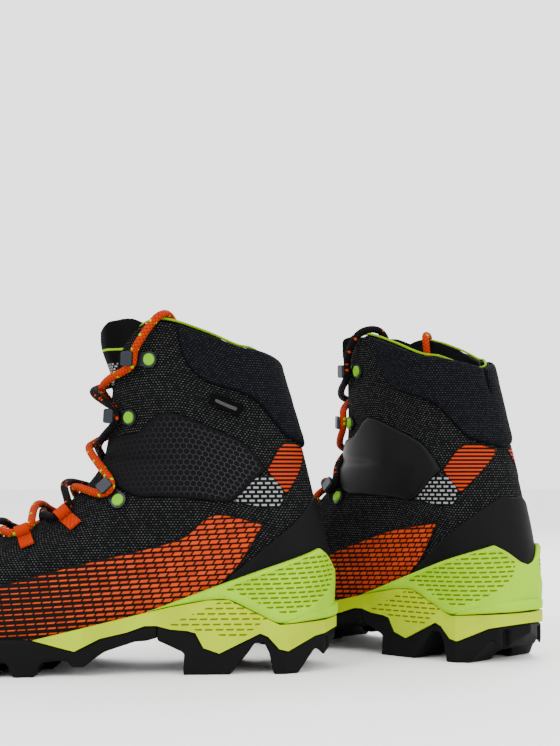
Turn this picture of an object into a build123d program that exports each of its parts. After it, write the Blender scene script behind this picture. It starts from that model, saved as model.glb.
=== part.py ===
"""A pair of mid-height mountaineering boots, standing as they are set down: the left one straight,
the right one behind it with its heel swung outward.

Each boot is modelled once in its own frame: +X towards the toe from the rearmost point of the heel,
+Y towards the outer (lateral) side, +Z up from the ground. All lengths are in millimetres. The left
boot is that model turned to face -X, and the right boot is its mirror image, turned by RIGHT_YAW.
"""
import math
import os
from build123d import *

# ---- driving dimensions --------------------------------------------------------------------------
RIGHT_YAW = 42.9            # how far the right boot is turned from the left one, degrees
RIGHT_SHIFT = (120.0, 20.0)  # right heel point from the left heel point
ORIGIN = (86.41, -91.23)     # left heel point from the middle of the pair
PIVOT = (68.0, 110.0)       # ankle axis of a boot, X and Z
FLEX_FORWARD = 26.0         # opening of the flex zone in front of the axis, degrees
FLEX_BACK = 12.0            # and behind it
GAP = 0.2                   # clearance between glued layers
CLIP_INSIDE = 1.6           # the heel clip and the sole stand this far off the upper, over its overlays
LACE_D = 4.8
BOARD_T = 1.5
SHANK_T = 1.5
PLAN_Z = 22.0               # height at which the sole takes its plan outline
SOLE_OUT = 4.5              # how far the sole stands outside the upper

# heights (Z) against position along the boot (X) and the other way round
BACK_LINE = [(12, 6), (36, 4.5), (57, 4), (75, 7), (99, 13), (130, 20.5), (150, 26.5), (180, 35), (215, 44)]
FRONT_LINE = [(12, 303), (30, 302), (38, 298), (46, 291), (54, 278), (62, 254), (70, 225), (80, 194),
              (90, 173), (100, 160), (110, 150), (122, 142.5), (150, 138.5), (215, 139)]
NOSE_LENGTH = [(12, 95), (40, 93), (60, 88), (80, 78), (100, 66), (120, 58), (150, 52), (215, 52)]
HEEL_ROUND = 36.0
LATERAL_WIDTH = [(0, 33), (40, 34.5), (90, 37), (130, 42), (170, 48.5), (205, 51), (310, 51)]
MEDIAL_WIDTH = [(0, 33), (40, 33.5), (90, 31.5), (120, 32.5), (160, 39), (200, 46), (235, 48), (310, 48)]
SHAFT_WIDTH = [(12, 37), (100, 36.5), (140, 34), (165, 35.5), (215, 38)]
TOE_INSET = 5.0             # the toe tip lies this far to the medial side
LEVELS = [12, 24, 36, 46, 55, 63, 72, 84, 98, 114, 132, 152, 175, 196, 215]
INSOLE_LINE = [(-12, 36), (55, 36), (85, 34), (130, 27), (180, 21), (240, 21.5), (275, 25), (312, 32)]

# side outlines, (X, Z)
COLLAR_LINE = [(150, 170), (131, 178), (129, 189), (121, 196.5), (106, 202.5), (93, 200.5), (73, 193.5),
               (57, 187.7), (48, 186.5), (35, 180.4), (10, 172)]
COLLAR_PAD = [(94, 201), (92.5, 190), (90, 182), (84, 173), (76, 167), (66, 163.5), (56, 160.5), (47, 155),
              (38, 144.5), (30, 135.5), (18, 129.5), (0, 128), (0, 215), (94, 215)]
ANKLE_PAD = [(131, 135.5), (117, 138.4), (109.5, 144.8), (101.4, 150), (94, 149.4), (75.4, 142), (57.4, 133.8),
             (48, 125), (42, 116), (47, 112), (62, 98.4), (79.4, 99.3), (103, 100.8), (116, 101), (129, 107),
             (135.5, 116.4)]
HEEL_COUNTER = [(-8, 99), (15, 99.5), (28, 84), (56, 60.8), (64, 53.2), (64, 30), (-8, 30)]
LATERAL_OVERLAY = [(236, 41), (196, 50.2), (155.7, 61.2), (107, 72.7), (89.4, 78.4), (72, 91), (42, 85.6),
                   (66.6, 51.4), (91, 42), (110.6, 35), (172, 20), (236, 18)]
MEDIAL_OVERLAY = [(236, 40), (196, 47), (150, 57), (110, 70), (80, 79), (42, 85), (66.6, 51.4), (91, 42),
                  (110.6, 35), (172, 20), (236, 18)]
TOE_RAND = [(237, 42.5), (262, 40), (286, 41.5), (312, 45), (312, 18), (237, 18)]
CLIP_OUTLINE = [(110.3, 35.5), (91.5, 42.4), (71.5, 49.8), (13.4, 70.5), (6, 63), (2, 57), (-12, 57),
                (-12, 30), (0, 30), (33.7, 28.2), (63, 42.5), (74.7, 42.4), (97, 38.5)]
LEDGE_OUTLINE = [(34, 28.2), (30, 31), (12, 33.6), (0, 36.4), (-14, 36.4), (-14, 30), (0, 30)]
MIDSOLE_BOTTOM = [(172.6, 20.6), (149.7, 14.3), (135.5, 21.3), (120.5, 24.6), (110.6, 28), (104, 28), (96, 25.9),
                  (86.3, 25), (81.8, 23.7), (77.3, 15.3), (68.3, 12.1), (45, 23.3), (40.5, 21.4), (34, 14.3),
                  (28.9, 13.1), (13.4, 20.8), (-14, 26.5)]
MIDSOLE_TOP = [(-14, 29.8), (0, 29.8), (33.7, 27.9), (63, 42.2), (74.7, 42.1), (97, 38.2), (110.3, 35.2)]
FOREFOOT_BRIDGE = [(104, 20.9), (110, 19.2), (115.9, 19), (133.2, 13.6), (141.1, 8), (144.4, 5.3),
                   (151.4, 5.3), (155, 9.5)]
HEEL_BOTTOM = [(104, 20.9), (103, 19.2), (91.5, 13.9), (88.3, 12.4), (88.9, 0), (62, 0), (57.9, 5), (51.5, 12.7),
               (48, 18), (43, 18), (39.9, 12.1), (37.3, 0), (23.4, 0), (13.1, 14), (8, 8.6), (0, 19), (-14, 22)]
EDGE_LUGS = [(172, 184), (195, 208), (219, 232), (242, 254), (263, 274), (283, 296)]
CENTRE_LUGS = [(166, 178), (189, 201), (213, 225), (237, 248), (259, 269)]
LUG_DEPTH = 8.0
LUG_RAMP = 3.5              # how much longer a lug is at its root, at each end

# lacing: each place is a height and a turn round the front of the boot, 0 degrees on its middle line
HOOKS = [((181.2, 50.5), (180.6, 64.5)), ((148.0, 34.0), (147.0, 48.5)), ((104.8, 49.0), (98.5, 61.5))]
LOOPS = [(89.0, 38.0), (78.0, 38.0), (69.5, 36.0)]
HOOK_HEAD = (7.3, 8.5, 1.7)  # length towards the throat, width, thickness
HOOK_RISE = 6.9             # underside of the head above the upper
PLATE = (0.6, 1.6)          # bottom and top of a hook's base plate above the upper
LACE_RISE = 4.3             # middle of the lace above the upper, inside a hook
LOOP_RISE = 4.0             # and inside a webbing loop
LOOP_WIDTH = 8.0
LACE_TURN = 4.6             # half the length of lace that lies across a hook or a loop

# each lace from below the top hook to the one under it, as stops between hooks and loops: height,
# turn (positive on the side the lace comes from) and height above the upper. One lace goes over the
# other at every crossing, in turn.
UNDER_STOPS = [[(170.5, 29, 4.0), (165.5, 7, 3.2), (163, -7, 3.2), (157, -24, 3.9)],
               [(137, 27, 4.2), (130.5, 8, 3.1), (127.5, -9, 3.1), (117.5, -30, 4.0)],
               [(103.8, 27, 3.9), (104, 8, 3.1), (102.6, -8, 3.1), (98.5, -24, 4.0)],
               [(87.3, 24, 3.9), (89.4, 8, 3.1), (88.4, -7, 3.1), (84.5, -23, 3.9)],
               [(76.9, 24, 3.9), (78.6, 8, 3.1), (77.6, -7, 3.1), (74.6, -22, 3.9)]]
OVER_STOPS = [[(170, 30, 4.8), (165.5, 9, 8.6), (162.5, -9, 8.6), (157.5, -23, 5.4)],
              [(137.5, 26, 5.3), (130.5, 9, 8.5), (127.5, -9, 8.5), (118, -29, 5.2)],
              [(103.8, 27, 5.2), (103.6, 9, 8.5), (101.6, -9, 8.5), (98.3, -23, 5.2)],
              [(87.4, 24, 5.2), (89.2, 9, 8.5), (88.0, -8, 8.5), (84.6, -22, 5.2)],
              [(76.9, 24, 5.2), (78.2, 9, 8.5), (77.2, -8, 8.5), (74.7, -22, 5.2)]]
BOTTOM_STOPS = [(70.0, 23, 3.9), (71.0, 11, 3.2), (71.2, 0, 3.1)]
# from the top hook over the collar, down inside the shaft and along the footbed: X, Y, Z
TAIL_STOPS = [(116, 36.5, 190), (110, 38.5, 199), (104, 37.0, 206.5), (99, 24.5, 208.5), (95, 20.5, 200),
              (93, 21.5, 180), (94, 22.5, 155), (98, 21.5, 128), (101, 20.5, 100), (100, 20.0, 76), (97, 20.5, 60),
              (97.5, 21.5, 49.5), (104, 22.0, 43.6), (114, 21.5, 41.4)]
AGLET_END = (136, 19.5, 38.2)


# ---- shape of the foot and shaft -----------------------------------------------------------------
def along(points, t):
    """Smooth curve through the points, flat beyond its ends."""
    if t <= points[0][0]:
        return points[0][1]
    if t >= points[-1][0]:
        return points[-1][1]
    i = next(k for k in range(len(points) - 1) if t <= points[k + 1][0])

    def slope(k):
        a, b = points[max(k - 1, 0)], points[min(k + 1, len(points) - 1)]
        return (b[1] - a[1]) / (b[0] - a[0])

    (t0, y0), (t1, y1) = points[i], points[i + 1]
    h, s = t1 - t0, (t - t0) / (t1 - t0)
    return (y0 * (1 + 2 * s) * (1 - s) ** 2 + h * slope(i) * s * (1 - s) ** 2
            + y1 * s * s * (3 - 2 * s) + h * slope(i + 1) * s * s * (s - 1))


def step(t, low, high):
    """0 below low, 1 above high, smooth between."""
    s = min(1.0, max(0.0, (t - low) / (high - low)))
    return s * s * (3 - 2 * s)


def quarter(s):
    """Height of a unit quarter circle at s from its end."""
    return math.sqrt(max(0.0, 1 - (1 - min(1.0, s)) ** 2))


def width(x, z, side, grow=0.0):
    """Distance from the boot's middle line to its skin, on side +1 (lateral) or -1 (medial)."""
    base = along(LATERAL_WIDTH if side > 0 else MEDIAL_WIDTH, x)
    shaft = step(z, 25, 105)
    full = base * (1 - shaft) + along(SHAFT_WIDTH, z) * shaft + grow
    back = (x - along(BACK_LINE, z) + grow) / HEEL_ROUND
    front = (along(FRONT_LINE, z) + grow - x) / along(NOSE_LENGTH, z)
    return full * quarter(max(back, 0)) * quarter(max(front, 0))


def middle(x, z):
    """Sideways place of the boot's middle line, which bends inward towards the toe."""
    return -TOE_INSET * step(x, 180, 303) * (1 - step(z, 50, 90))


def skin(x, z, side, grow=0.0):
    """Point of the skin, moved outward by grow."""
    return Vector(x, middle(x, z) + side * width(x, z, side, grow), z)


def section(z, grow, count=10):
    """Points of the closed outline of the boot at height z."""
    low, high = along(BACK_LINE, z) - grow, along(FRONT_LINE, z) + grow
    xs = [low + (high - low) * (1 - math.cos(math.pi * k / count)) / 2 for k in range(count + 1)]
    lateral = [(x, middle(x, z) + width(x, z, 1, grow)) for x in xs]
    medial = [(x, middle(x, z) - width(x, z, -1, grow)) for x in xs[1:-1]]
    return lateral + medial[::-1]


_lasts = {}


def last(grow):
    """Solid of the boot's upper, moved outward by grow."""
    if grow not in _lasts:
        with BuildPart() as body:
            for z in LEVELS:
                with BuildSketch(Plane.XY.offset(z)):
                    with BuildLine():
                        Polyline(*section(z, grow), close=True)
                    make_face()
            loft(ruled=True)
        _lasts[grow] = body.part
    return _lasts[grow]


def side_prism(outline, low=-80.0, high=80.0):
    """A side outline, given in X and Z, stretched from Y = low to Y = high."""
    with BuildPart() as prism:
        with BuildSketch(Plane.XZ.offset(-high)):
            with BuildLine():
                Polyline(*outline, close=True)
            make_face()
        extrude(amount=high - low)
    return prism.part


def plan_prism(grow, low=-5.0, high=80.0):
    """The sole's plan outline, moved outward by grow, as a block."""
    with BuildPart() as prism:
        with BuildSketch(Plane.XY.offset(low)):
            with BuildLine():
                Polyline(*section(PLAN_Z, grow), close=True)
            make_face()
        extrude(amount=high - low)
    return prism.part


def above_insole(rise, top=230.0):
    """Everything more than rise above the insole line."""
    return side_prism([(x, z + rise) for x, z in INSOLE_LINE] + [(312, top), (-12, top)])


def shell(outer, inner):
    """The layer between two offsets of the boot's skin."""
    with BuildPart() as layer:
        add(last(outer))
        add(last(inner), mode=Mode.SUBTRACT)
    return layer.part


def ray(angle, reach=140.0):
    """Point reach away from the ankle axis, angle degrees above forward."""
    a = math.radians(angle)
    return (PIVOT[0] + reach * math.cos(a), PIVOT[1] + reach * math.sin(a))


# the three zones of a boot that flexes at the ankle: below, between and above
BELOW = side_prism([(-20, 0), (320, 0), (320, PIVOT[1]), (-20, PIVOT[1])])
BETWEEN = [side_prism([(PIVOT[0] + 1, PIVOT[1]), (PIVOT[0] + 140, PIVOT[1]), ray(FLEX_FORWARD)]),
           side_prism([(PIVOT[0] - 1, PIVOT[1]), (PIVOT[0] - 140, PIVOT[1]), ray(180 - FLEX_BACK)])]
APEX = (PIVOT[0], PIVOT[1] + 0.6)
ABOVE = side_prism([APEX, ray(FLEX_FORWARD), (208, 230), (-72, 230), ray(180 - FLEX_BACK)])
UNDER_COLLAR = side_prism(COLLAR_LINE + [(10, 0), (320, 0), (320, 170)])
LINING_TOP = side_prism([(x, z + 2.2) for x, z in COLLAR_LINE] + [(10, 0), (320, 0), (320, 172)])


def throat(grow=0.0):
    """The opening over the tongue: a slot up the front of the shaft and along the instep."""
    with BuildPart() as slot:
        with BuildSketch(Plane.YZ.offset(100)):
            with BuildLine():
                Polyline((-20 - grow, 230), (-20 - grow, 182), (-12 - grow, 150), (-12 - grow, 100),
                         (12 + grow, 100), (12 + grow, 150), (20 + grow, 182), (20 + grow, 230), close=True)
            make_face()
        extrude(amount=70)
        with BuildSketch(Plane.XY.offset(52)):
            with BuildLine():
                Polyline((120, -12 - grow), (210 + grow, -10 - grow), (216 + grow, -5), (216 + grow, 5),
                         (210 + grow, 10 + grow), (120, 12 + grow), close=True)
            make_face()
        extrude(amount=60)
    return slot.part


def tongue_zone():
    """Where the tongue reaches: a broad strip behind the throat, rising above the collar."""
    with BuildPart() as strip:
        with BuildSketch(Plane.YZ.offset(104)):
            with BuildLine():
                Polyline((-24, 100), (-25, 185), (-23, 198), (-16, 206), (16, 206), (23, 198), (25, 185),
                         (24, 100), close=True)
            make_face()
        extrude(amount=70)
        with BuildSketch(Plane.XY.offset(50)):
            with BuildLine():
                Polyline((118, -24), (200, -22), (222, -12), (222, 12), (200, 22), (118, 24), close=True)
            make_face()
        extrude(amount=62)
    return strip.part


THROAT, TONGUE_ZONE = throat(), tongue_zone()
UPPER_SHELL, TONGUE_SHELL = shell(0, -3), shell(-3.3, -6.1)


def cut_piece(layer, *keep, drop=()):
    """What the layer and every kept zone share, less the dropped zones."""
    with BuildPart() as piece:
        add(layer)
        for zone in keep:
            add(zone, mode=Mode.INTERSECT)
        for zone in drop:
            add(zone, mode=Mode.SUBTRACT)
    return piece.part


# ---- upper, tongue and lining --------------------------------------------------------------------
def make_upper():
    parts = {
        "upper_vamp": cut_piece(UPPER_SHELL, BELOW, above_insole(0), drop=[THROAT]),
        "upper_cuff": cut_piece(UPPER_SHELL, ABOVE, UNDER_COLLAR, drop=[THROAT]),
        "tongue_vamp": cut_piece(TONGUE_SHELL, BELOW, TONGUE_ZONE, above_insole(20)),
        "tongue_cuff": cut_piece(TONGUE_SHELL, ABOVE, TONGUE_ZONE),
    }
    with BuildPart() as gusset:
        for wedge in BETWEEN:
            add(cut_piece(UPPER_SHELL, wedge, drop=[THROAT]))
        add(cut_piece(TONGUE_SHELL, BETWEEN[0], TONGUE_ZONE))
    parts["flex_gusset"] = gusset.part
    with BuildPart() as lining:
        add(last(-6.4))
        add(above_insole(BOARD_T + GAP), mode=Mode.INTERSECT)
        add(LINING_TOP, mode=Mode.INTERSECT)
        add(cut_piece(last(-7.4), above_insole(BOARD_T + 1.2)), mode=Mode.SUBTRACT)
    parts["lining"] = lining.part
    return parts


def patch(outline, outer, inner=GAP, side=0):
    """A flat piece glued on the skin: the layer inside a side outline, on one side or on both."""
    low, high = {1: (0, 80), -1: (-80, 0), 0: (-80, 80)}[side]
    return cut_piece(shell(outer, inner), side_prism(outline, low, high))


def make_overlays():
    return {
        "collar_pad": cut_piece(patch(COLLAR_PAD, 3.0), UNDER_COLLAR),
        "ankle_pad_lateral": patch(ANKLE_PAD, 1.2, side=1),
        "ankle_pad_medial": patch(ANKLE_PAD, 1.2, side=-1),
        "heel_counter": cut_piece(patch(HEEL_COUNTER, 1.3), above_insole(0)),
        "toe_rand": cut_piece(patch(TOE_RAND, 1.8), above_insole(0)),
        "overlay_lateral": cut_piece(patch(LATERAL_OVERLAY, 0.9, side=1), above_insole(0)),
        "overlay_medial": cut_piece(patch(MEDIAL_OVERLAY, 0.9, side=-1), above_insole(0)),
        "label_tab": patch([(73, 161.5), (55, 153.5), (57.5, 147), (75, 155)], 1.1, side=1),
    }


# ---- sole ----------------------------------------------------------------------------------------
def ground(x):
    """Height of the tread under the forefoot, which curls up at the toe."""
    return 13.0 * max(0.0, (x - 232) / 71) ** 2


def lug_line(lugs, front, back):
    """Lower outline of a row of lugs from x = back to x = front."""
    line = [(back, ground(back) + LUG_DEPTH)]
    for low, high in lugs:
        line += [(low - LUG_RAMP, ground(low) + LUG_DEPTH), (low, ground(low)), (high, ground(high)),
                 (high + LUG_RAMP, ground(high) + LUG_DEPTH)]
    return line + [(front, ground(front) + LUG_DEPTH)]


def sole_top(rise=0.0):
    """The insole line in front of the midsole's tip, from the tip to beyond the toe."""
    return [(172.6, 20.6 + rise)] + [(x, z + rise) for x, z in INSOLE_LINE if x > 175]


def make_forefoot_rubber():
    top = sole_top() + [(318, 33), (318, 31)]
    roof = top[::-1] + MIDSOLE_BOTTOM[1:6]
    edge = side_prism(FOREFOOT_BRIDGE + lug_line(EDGE_LUGS, 318, 165)[1:] + roof)
    centre = side_prism(FOREFOOT_BRIDGE[:4] + [(150, 10.5)] + lug_line(CENTRE_LUGS, 318, 160) + roof)
    base = [(x, ground(x) + LUG_DEPTH + 1) for x in (155, 200, 232, 255, 280, 318)]
    plate = side_prism(FOREFOOT_BRIDGE[:4] + [(141, 10.5), (150, 9.8)] + base + roof)
    with BuildPart() as rubber:
        add(plate)
        for low, high in ((-80, -22), (22, 80)):
            add(cut_piece(edge, side_prism([(95, -5), (320, -5), (320, 60), (95, 60)], low, high)))
        for low, high in ((-17, -2.5), (2.5, 17)):
            add(cut_piece(centre, side_prism([(95, -5), (320, -5), (320, 60), (95, 60)], low, high)))
        add(plan_prism(SOLE_OUT), mode=Mode.INTERSECT)
    return rubber.part


def make_heel_rubber():
    roof = MIDSOLE_BOTTOM[5:][::-1]
    block = side_prism(HEEL_BOTTOM + roof)
    with BuildPart() as rubber:
        add(cut_piece(block, plan_prism(SOLE_OUT)))
        with BuildSketch(Plane.XY.offset(-1)):
            with BuildLine():
                Polyline((110, -12), (60, -9), (30, -13), (20, -8), (20, 8), (30, 13), (60, 9), (110, 12),
                         close=True)
            make_face()
        extrude(amount=9.5, mode=Mode.SUBTRACT)
        with BuildSketch(Plane.YZ.offset(-14)):
            with Locations((-17, 8), (17, 8)):
                Rectangle(5, 24)
        extrude(amount=24, mode=Mode.SUBTRACT)
    return rubber.part


def make_midsole():
    side = side_prism(MIDSOLE_BOTTOM[::-1] + [(172.8, 20.7)] + MIDSOLE_TOP[::-1])
    with BuildPart() as foam:
        add(cut_piece(side, plan_prism(SOLE_OUT + 0.8)))
        add(cut_piece(last(CLIP_INSIDE), above_insole(-0.05)), mode=Mode.SUBTRACT)
        add(shank_block(0.1), mode=Mode.SUBTRACT)
    return foam.part


def shank_block(clear=0.0):
    """The stiffening plate in the midsole's top, following the insole line."""
    span = [(55, 35.7), (85, 33.7), (130, 26.7), (150, 24.3)]
    ends = [(span[0][0] - clear, span[0][1])] + span[1:-1] + [(span[-1][0] + clear, span[-1][1])]
    line = [(x, z + clear) for x, z in ends]
    under = [(x, z - SHANK_T - clear) for x, z in ends[::-1]]
    return side_prism(line + under, -13 - clear, 13 + clear)


def make_heel_clip():
    with BuildPart() as clip:
        add(patch(CLIP_OUTLINE, 4.9, inner=CLIP_INSIDE))
        add(cut_piece(shell(8.0, CLIP_INSIDE), side_prism(LEDGE_OUTLINE)))
        with BuildSketch(Plane.YZ.offset(-14)):
            with BuildLine():
                Polyline((-24, 60), (-20, 54), (20, 54), (24, 60), close=True)
            make_face()
        extrude(amount=34, mode=Mode.SUBTRACT)
    return clip.part


def make_sole():
    with BuildPart() as board:
        add(cut_piece(last(-3.2), above_insole(0)))
        add(above_insole(BOARD_T), mode=Mode.SUBTRACT)
    with BuildPart() as footbed:
        add(cut_piece(last(-8.2), above_insole(BOARD_T + 1.5)))
        add(above_insole(BOARD_T + 5.5), mode=Mode.SUBTRACT)
    return {
        "outsole_forefoot": make_forefoot_rubber(),
        "outsole_heel": make_heel_rubber(),
        "midsole": make_midsole(),
        "heel_clip": make_heel_clip(),
        "shank": shank_block(),
        "insole_board": board.part,
        "footbed": footbed.part,
    }


# ---- hooks and loops -----------------------------------------------------------------------------
def front(z, turn, rise=0.0):
    """Point on the front half of the skin at height z, turned round from the middle line, moved out."""
    def on_skin(level, angle):
        x = along(FRONT_LINE, level) - along(NOSE_LENGTH, level) * (1 - math.cos(math.radians(angle)))
        return skin(x, level, 1 if angle >= 0 else -1)

    up = on_skin(z + 0.4, turn) - on_skin(z - 0.4, turn)
    across = on_skin(z, turn + 0.6) - on_skin(z, turn - 0.6)
    return on_skin(z, turn) + across.cross(up).normalized() * rise


def hook_plane(hook, side):
    """Plane on the upper under a hook: X from its rivet to its head, Z outward, origin under the head."""
    (head_z, head_turn), (rivet_z, rivet_turn) = hook
    head, rivet = front(head_z, side * head_turn), front(rivet_z, side * rivet_turn)
    between = front((head_z + rivet_z) / 2, side * (head_turn + rivet_turn) / 2, 1.0)
    outward = between - front((head_z + rivet_z) / 2, side * (head_turn + rivet_turn) / 2)
    ahead = (head - rivet) - outward * (head - rivet).dot(outward)
    return Plane(origin=head, x_dir=ahead, z_dir=outward), (head - rivet).length


def loop_plane(loop, side):
    """Plane across a webbing loop: X down the side of the boot, Y outward, origin on the upper."""
    base = front(loop[0], side * loop[1])
    outward = front(loop[0], side * loop[1], 1.0) - base
    down = front(loop[0] - 1.0, side * (loop[1] + 4)) - base
    down = down - outward * down.dot(outward)
    return Plane(origin=base, x_dir=down, z_dir=down.cross(outward))


def make_hook(hook, side):
    plane, reach = hook_plane(hook, side)
    with BuildPart() as metal:
        with BuildSketch(plane.offset(PLATE[0])):
            with BuildLine():
                Polyline((2.5, -3), (2.5, 3), (-reach, 4.6), (-reach, -4.6), close=True)
            make_face()
            with Locations((-reach, 0)):
                Circle(4.7)
                Circle(2.0, mode=Mode.SUBTRACT)
        extrude(amount=PLATE[1] - PLATE[0])
        with BuildSketch(plane.offset(PLATE[1] - 0.2)):
            with Locations((1.7, 0)):
                RectangleRounded(2.2, 3.8, 0.6)
        extrude(amount=HOOK_RISE - PLATE[1] + 0.4)
        with BuildSketch(plane.offset(HOOK_RISE)):
            RectangleRounded(HOOK_HEAD[0], HOOK_HEAD[1], 1.5)
        extrude(amount=HOOK_HEAD[2])
        fillet(metal.faces().sort_by(Axis(plane.origin, plane.z_dir))[-1].edges(), 0.5)
    return metal.part


def make_rivet(hook, side):
    plane, reach = hook_plane(hook, side)
    with BuildPart() as rivet:
        with BuildSketch(plane.offset(PLATE[0] + 0.1)):
            with Locations((-reach, 0)):
                Circle(1.9)
        extrude(amount=PLATE[1] - PLATE[0])
        with BuildSketch(plane.offset(PLATE[1] + 0.05)):
            with Locations((-reach, 0)):
                Circle(3.5)
        extrude(amount=1.5)
        fillet(rivet.faces().sort_by(Axis(plane.origin, plane.z_dir))[-1].edges(), 0.7)
    return rivet.part


def make_loop(loop, side):
    with BuildPart() as webbing:
        with BuildSketch(loop_plane(loop, side).offset(-LOOP_WIDTH / 2)):
            with Locations((0, LOOP_RISE)):
                Circle(LACE_D / 2 + 1.2)
            with Locations((6.5, 1.0)):
                Rectangle(15, 1.2, rotation=-4)
            with Locations((0, LOOP_RISE)):
                Circle(LACE_D / 2 + 0.25, mode=Mode.SUBTRACT)
        extrude(amount=LOOP_WIDTH)
        add(last(0.25), mode=Mode.SUBTRACT)
    return webbing.part.solids().sort_by(SortBy.VOLUME)[-1]


def gather(pieces):
    """Several separate pieces as one group."""
    with BuildPart() as group:
        add(pieces)
    return group.part


# ---- laces ---------------------------------------------------------------------------------------
def across_hook(hook, side, downward):
    """The two points of a lace that turns round a hook's neck, in the order it passes them."""
    plane, _ = hook_plane(hook, side)
    ends = [plane.from_local_coords((-2.6, y, LACE_RISE)) for y in (-LACE_TURN, LACE_TURN)]
    return sorted(ends, key=lambda p: p.Z, reverse=downward)


def across_loop(loop, side):
    """The two points of a lace that passes through a loop, rear one first."""
    plane = loop_plane(loop, side)
    ends = [plane.from_local_coords((0, LOOP_RISE, z)) for z in (-LACE_TURN - 1, LACE_TURN + 1)]
    return sorted(ends, key=lambda p: p.X)


def lace_route(side, over_first):
    """Points of the half of a lace that starts at the top hook on this side, from its aglet."""
    route = [Vector(x, side * y, z) for x, y, z in TAIL_STOPS[::-1]]
    route += across_hook(HOOKS[0], side, True)
    for k in range(5):
        stops = (OVER_STOPS if over_first == (k % 2 == 0) else UNDER_STOPS)[k]
        route += [front(z, side * turn, rise) for z, turn, rise in stops]
        side = -side
        if k < 2:
            route += across_hook(HOOKS[k + 1], side, True)
        else:
            route += across_loop(LOOPS[k - 2], side)
    return route + [front(z, side * turn, rise) for z, turn, rise in BOTTOM_STOPS]


def corner_radii(route):
    """Radius of the arc at each corner of a route, as large as its two runs allow."""
    radii = []
    for before, corner, after in zip(route, route[1:], route[2:]):
        runs = (corner - before, after - corner)
        half_turn = math.radians(runs[0].get_angle(runs[1]) / 2)
        radii.append(0.45 * min(run.length for run in runs) / math.tan(half_turn))
    return radii


def make_lace(name, route):
    """Tube along a route, with its arcs and its volume printed for comparison."""
    radii = corner_radii(route)
    with BuildPart() as lace:
        with BuildLine():
            path = FilletPolyline(*route, radius=radii)
        with BuildSketch(Plane(origin=path @ 0, z_dir=path % 0)):
            Circle(LACE_D / 2)
        sweep()
    print(name, "length", round(path.length, 1), "radii", *[round(r, 1) for r in radii])
    print(name, "volume", round(lace.part.volume), "of", round(math.pi * (LACE_D / 2) ** 2 * path.length))
    return lace.part


def make_aglet(side):
    start = Vector(TAIL_STOPS[-1][0], side * TAIL_STOPS[-1][1], TAIL_STOPS[-1][2])
    end = Vector(AGLET_END[0], side * AGLET_END[1], AGLET_END[2])
    with BuildPart() as aglet:
        with BuildSketch(Plane(origin=start, z_dir=end - start)):
            Circle(LACE_D / 2 + 0.1)
        extrude(amount=(end - start).length, taper=1.2)
        fillet(aglet.faces().sort_by(Axis(start, end - start))[-1].edges(), 1.2)
    return aglet.part


def make_lacing():
    both = [(place, side) for place in HOOKS for side in (1, -1)]
    return {
        "cuff_hooks": gather([make_hook(hook, side) for hook, side in both[:4]]),
        "cuff_rivets": gather([make_rivet(hook, side) for hook, side in both[:4]]),
        "instep_hooks": gather([make_hook(hook, side) for hook, side in both[4:]]),
        "instep_rivets": gather([make_rivet(hook, side) for hook, side in both[4:]]),
        "lace_loops": gather([make_loop(loop, side) for loop in LOOPS for side in (1, -1)]),
        "lace_orange": make_lace("lace_orange", lace_route(1, False)),
        "lace_black": make_lace("lace_black", lace_route(-1, True)),
        "aglets": gather([make_aglet(1), make_aglet(-1)]),
    }


# ---- the pair ------------------------------------------------------------------------------------
def write_pair():
    os.makedirs("parts", exist_ok=True)
    boot = {**make_sole(), **make_upper(), **make_overlays(), **make_lacing()}
    left_place = Location((ORIGIN[0], ORIGIN[1], 0), (0, 0, 180))
    right_origin = (ORIGIN[0] + RIGHT_SHIFT[0], ORIGIN[1] + RIGHT_SHIFT[1], 0)
    right_place = Location(right_origin, (0, 0, 180 - RIGHT_YAW))
    for name, piece in boot.items():
        for side, place in (("left", left_place), ("right", right_place)):
            with BuildPart() as placed:
                add(piece)
                if side == "right":
                    mirror(about=Plane.XZ, mode=Mode.REPLACE)
            placed.part.label = f"{side}_{name}"
            export_step(placed.part.moved(place), f"parts/{placed.part.label}.step")


write_pair()
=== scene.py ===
"""Looks of a pair of mountaineering boots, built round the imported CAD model.

Each piece is worked out once in a boot's own frame, in millimetres (X to the toe from the back of the
heel, Y to the outer side, Z up), and then set down twice: as the left boot and, mirrored, as the right.
"""
import math
import bpy
import numpy as np
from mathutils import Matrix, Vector
from mathutils.geometry import delaunay_2d_cdt


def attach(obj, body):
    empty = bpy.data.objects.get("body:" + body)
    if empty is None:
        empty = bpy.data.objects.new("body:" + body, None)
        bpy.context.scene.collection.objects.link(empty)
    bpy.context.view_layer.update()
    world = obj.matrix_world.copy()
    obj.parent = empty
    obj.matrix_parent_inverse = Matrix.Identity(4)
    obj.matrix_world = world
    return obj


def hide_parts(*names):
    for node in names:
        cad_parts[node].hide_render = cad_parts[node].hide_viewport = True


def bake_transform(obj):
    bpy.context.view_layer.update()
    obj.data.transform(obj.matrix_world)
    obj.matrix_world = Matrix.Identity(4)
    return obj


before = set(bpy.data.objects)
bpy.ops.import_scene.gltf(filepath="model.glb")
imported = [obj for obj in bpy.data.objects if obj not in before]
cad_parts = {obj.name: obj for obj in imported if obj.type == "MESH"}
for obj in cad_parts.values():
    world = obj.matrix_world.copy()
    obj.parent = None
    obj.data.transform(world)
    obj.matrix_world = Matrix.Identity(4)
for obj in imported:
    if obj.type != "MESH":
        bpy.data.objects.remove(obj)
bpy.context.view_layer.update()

# ---- driving dimensions, as in the CAD model -----------------------------------------------------
MM = 0.001
PLACES = {"left": (86.41, -91.23, 180.0, 1), "right": (206.41, -71.23, 137.1, -1)}  # heel X, Y, turn, side
HEEL_ROUND = 36.0
BACK_LINE = [(12, 6), (36, 4.5), (57, 4), (75, 7), (99, 13), (130, 20.5), (150, 26.5), (180, 35), (215, 44)]
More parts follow.
